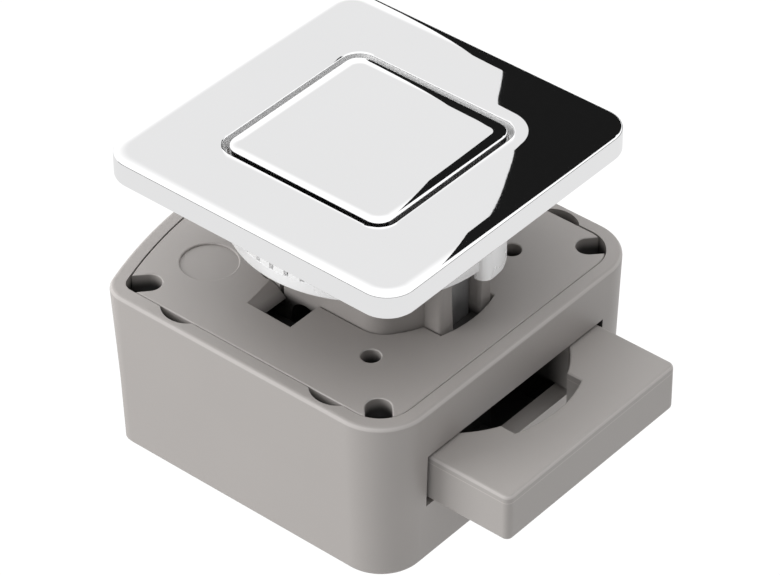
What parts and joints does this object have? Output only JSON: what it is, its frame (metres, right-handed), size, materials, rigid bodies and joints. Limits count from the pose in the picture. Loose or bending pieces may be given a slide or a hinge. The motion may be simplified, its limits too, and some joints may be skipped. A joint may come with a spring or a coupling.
{
  "type": "push button cabinet lock",
  "caption": "Push button cabinet lock: a square chrome rosette and flush button on a collar and guide tower, over a moulded case with a wide spring bolt.",
  "frame": {"origin": "centre of the door hole, on the button's axis in the plane of the case's top face, which rests against the back of the door", "axes": "+Z out of the front of the door, along the button; +X the way the bolt shoots; +Y across the bolt"},
  "size_m": [0.0741, 0.0592, 0.0521],
  "materials": {
    "case_plastic": "fine satin moulded greige",
    "bright_chrome": "bright polished chrome plating",
    "cast_zinc": "plain die cast zinc, dull grey",
    "spring_steel": "bright drawn spring steel",
    "pin_steel": "ground steel pin",
    "screw_steel": "zinc plated steel screw",
    "dark_plastic": "dark moulded plastic"
  },
  "bodies": {
    "case": {"case_housing": "case_plastic", "cover_plate": "case_plastic", "cover_screws": "screw_steel", "guide_tower": "case_plastic", "track_follower": "spring_steel", "follower_leaf": "spring_steel", "bolt_spring_left": "spring_steel", "bolt_spring_right": "spring_steel", "spring_guide_left": "pin_steel", "spring_guide_right": "pin_steel", "rosette_plate": "bright_chrome", "rosette_clip_left": "spring_steel", "rosette_clip_right": "spring_steel", "clip_screws": "screw_steel", "plunger_spring_front": "spring_steel", "plunger_spring_rear": "spring_steel"},
    "button": {"plunger": "cast_zinc", "button_carrier": "dark_plastic", "carrier_screw": "screw_steel", "button_cap": "bright_chrome"},
    "bolt": {"bolt": "case_plastic", "drive_pin": "pin_steel"}
  },
  "joints": [
    {"name": "button_slide", "type": "slide", "parent": "case", "child": "button", "axis": [0, 0, 1], "range_m": [0, 0.009], "deforming": ["plunger_spring_front", "plunger_spring_rear", "track_follower"]},
    {"name": "bolt_slide", "type": "slide", "parent": "case", "child": "bolt", "axis": [1, 0, 0], "range_m": [-0.0144, 0], "deforming": ["bolt_spring_left", "bolt_spring_right"]}
  ],
  "couplings": [
    {"joint": "bolt_slide", "follows": "button_slide", "ratio": -1.6}
  ]
}
